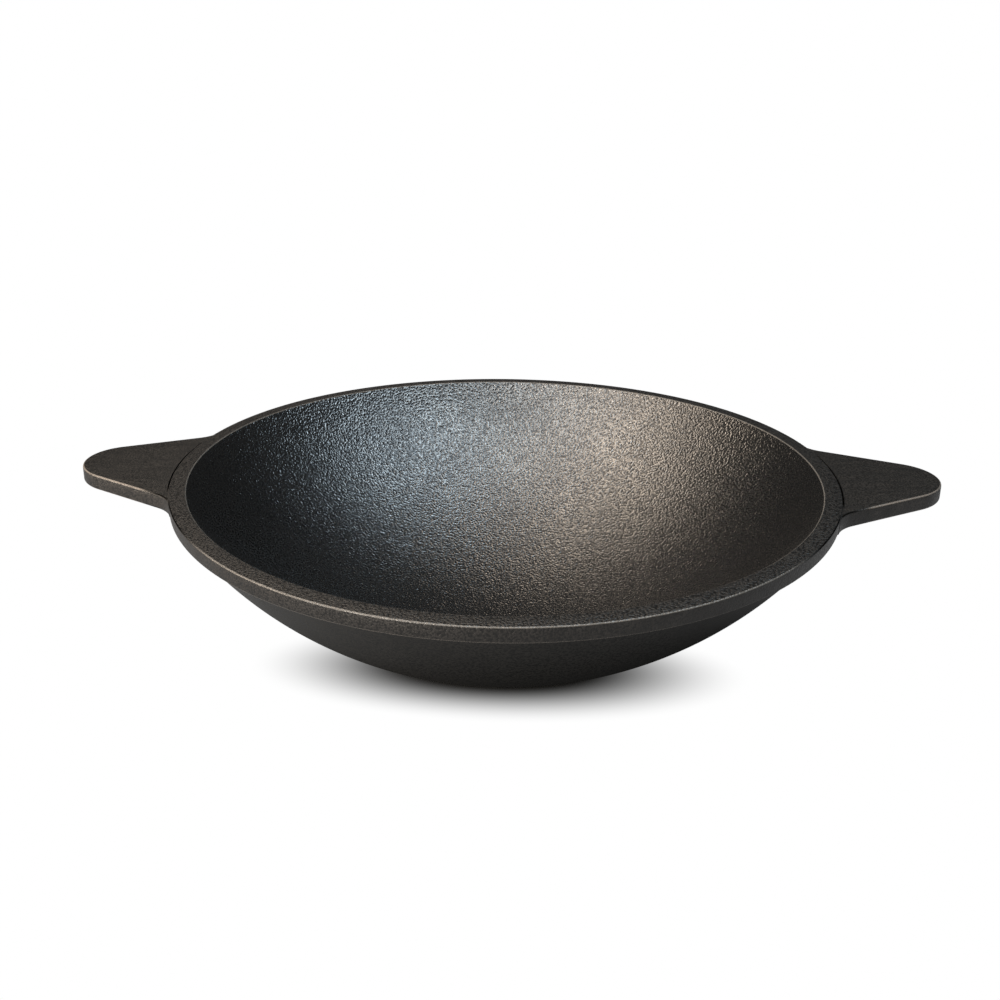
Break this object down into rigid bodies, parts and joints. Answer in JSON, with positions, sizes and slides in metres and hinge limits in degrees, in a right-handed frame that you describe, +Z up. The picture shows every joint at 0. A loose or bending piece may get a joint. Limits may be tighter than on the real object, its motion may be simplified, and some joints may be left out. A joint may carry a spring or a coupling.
{
  "type": "round cast-iron stove pan",
  "caption": "Shallow round cast-iron pan with a heavy rim band, a small flat foot and a tapering tab handle on either side.",
  "frame": {"origin": "middle of the flat foot that the pan stands on", "axes": "+Z up out of the bowl, +X along the handles, towards the right handle"},
  "size_m": [0.338, 0.26, 0.0725],
  "materials": {
    "bowl_iron": "seasoned black iron, pebbled inside, smoother outside",
    "rim_iron": "seasoned dark grey-brown iron, fine sand grain",
    "handle_iron": "seasoned dark grey-brown iron, smooth dressed top face"
  },
  "bodies": {
    "root": {"bowl": "bowl_iron", "rim_band": "rim_iron", "handle_left": "handle_iron", "handle_right": "handle_iron"}
  },
  "joints": []
}
